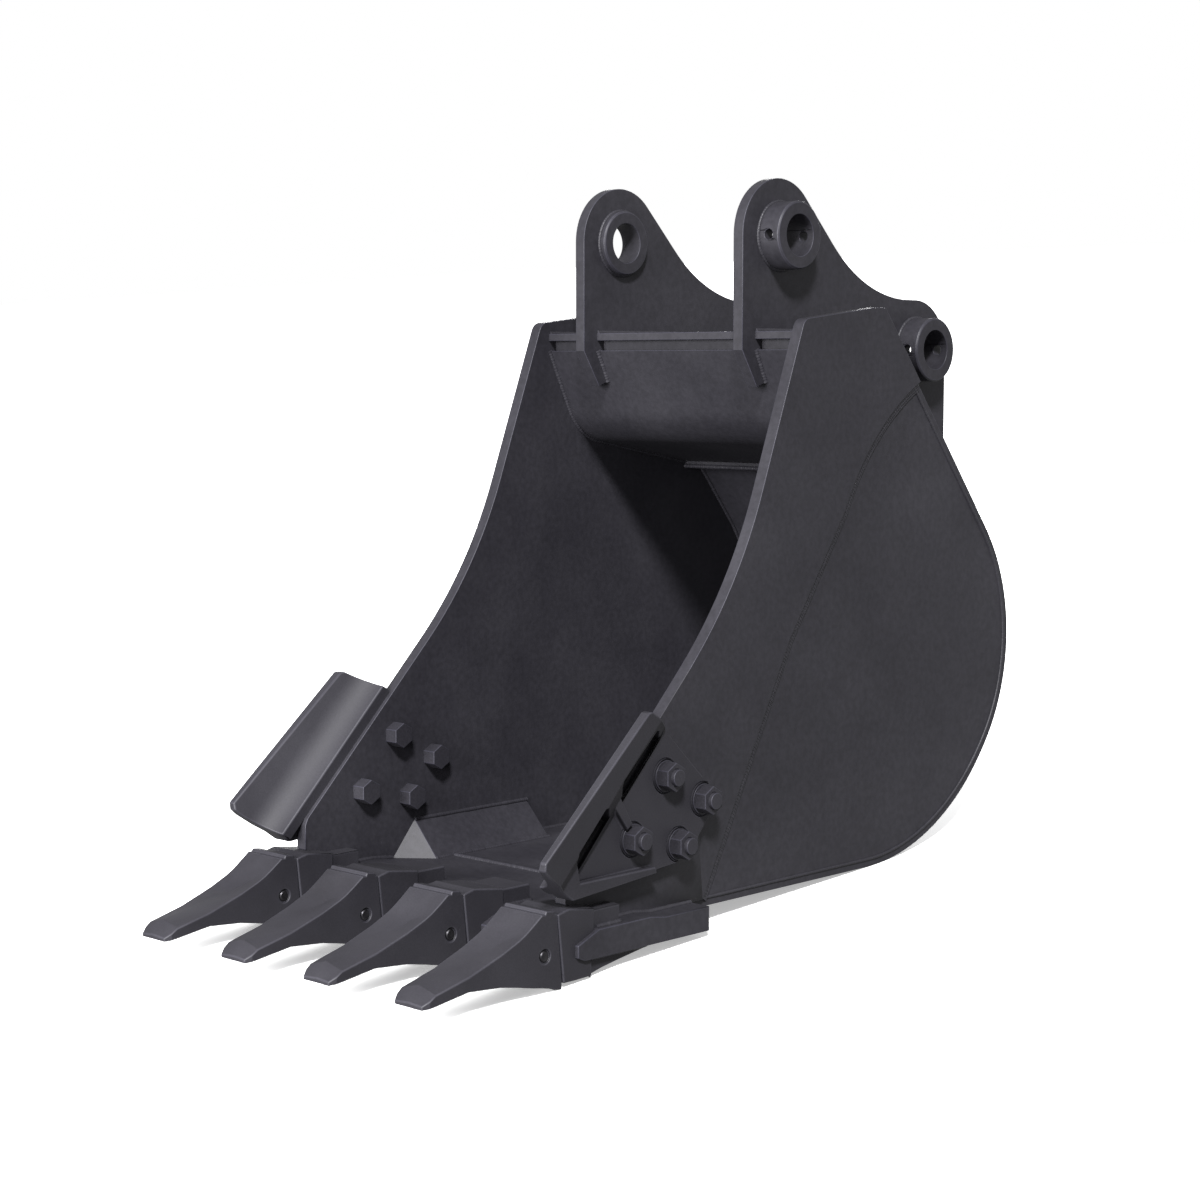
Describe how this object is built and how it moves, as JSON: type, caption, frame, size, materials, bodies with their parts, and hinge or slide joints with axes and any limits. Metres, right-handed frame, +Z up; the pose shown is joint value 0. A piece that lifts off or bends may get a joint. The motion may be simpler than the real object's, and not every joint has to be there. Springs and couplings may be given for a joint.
{
  "type": "excavator bucket",
  "caption": "Digging bucket of welded plate with toothed cutting edge, bolted side cutters and two pin ears.",
  "frame": {"origin": "centre of the bounding box in plan, on the floor it rests on", "axes": "+X to the right side plate, +Y from the teeth to the back, +Z up, in the resting attitude"},
  "size_m": [0.85, 1.714, 1.351],
  "materials": {
    "plate_paint": "satin charcoal paint on rolled and flame-cut plate",
    "edge_paint": "satin charcoal paint on thick edge plate",
    "boss_paint": "satin charcoal paint on turned steel, bare bore",
    "cast_paint": "satin charcoal paint on sand-cast steel",
    "bolt_steel": "painted over forged heads",
    "pin_steel": "hardened steel, dull"
  },
  "bodies": {
    "bucket": {"shell_lower": "plate_paint", "shell_upper": "plate_paint", "side_plate_front_left": "plate_paint", "side_plate_front_right": "plate_paint", "side_plate_rear_left": "plate_paint", "side_plate_rear_right": "plate_paint", "cutting_edge": "edge_paint", "corner_gusset_left": "plate_paint", "corner_gusset_right": "plate_paint", "box_front_plate": "plate_paint", "box_top_plate": "plate_paint", "box_closing_bar": "plate_paint", "box_rear_strip": "plate_paint", "ear_left": "plate_paint", "ear_right": "plate_paint", "dipper_boss_left": "boss_paint", "dipper_boss_right": "boss_paint", "link_boss_left": "boss_paint", "link_boss_right": "boss_paint", "adapter_1": "cast_paint", "adapter_2": "cast_paint", "adapter_3": "cast_paint", "adapter_4": "cast_paint", "tooth_1": "cast_paint", "tooth_2": "cast_paint", "tooth_3": "cast_paint", "tooth_4": "cast_paint", "tooth_lock_1": "pin_steel", "tooth_lock_2": "pin_steel", "tooth_lock_3": "pin_steel", "tooth_lock_4": "pin_steel", "side_cutter_left": "cast_paint", "side_cutter_right": "cast_paint", "cutter_bolts_left": "bolt_steel", "cutter_bolts_right": "bolt_steel", "cutter_washers_left": "bolt_steel", "cutter_washers_right": "bolt_steel", "cutter_nuts_left": "bolt_steel", "cutter_nuts_right": "bolt_steel"},
    "tooth_pin_1": {"tooth_pin_1": "pin_steel"},
    "tooth_pin_2": {"tooth_pin_2": "pin_steel"},
    "tooth_pin_3": {"tooth_pin_3": "pin_steel"},
    "tooth_pin_4": {"tooth_pin_4": "pin_steel"}
  },
  "joints": [
    {"name": "tooth_pin_1_slide", "type": "slide", "parent": "bucket", "child": "tooth_pin_1", "axis": [1, 0, 0], "range_m": [0, 0.104]},
    {"name": "tooth_pin_2_slide", "type": "slide", "parent": "bucket", "child": "tooth_pin_2", "axis": [1, 0, 0], "range_m": [0, 0.104]},
    {"name": "tooth_pin_3_slide", "type": "slide", "parent": "bucket", "child": "tooth_pin_3", "axis": [1, 0, 0], "range_m": [0, 0.104]},
    {"name": "tooth_pin_4_slide", "type": "slide", "parent": "bucket", "child": "tooth_pin_4", "axis": [1, 0, 0], "range_m": [0, 0.104]}
  ]
}
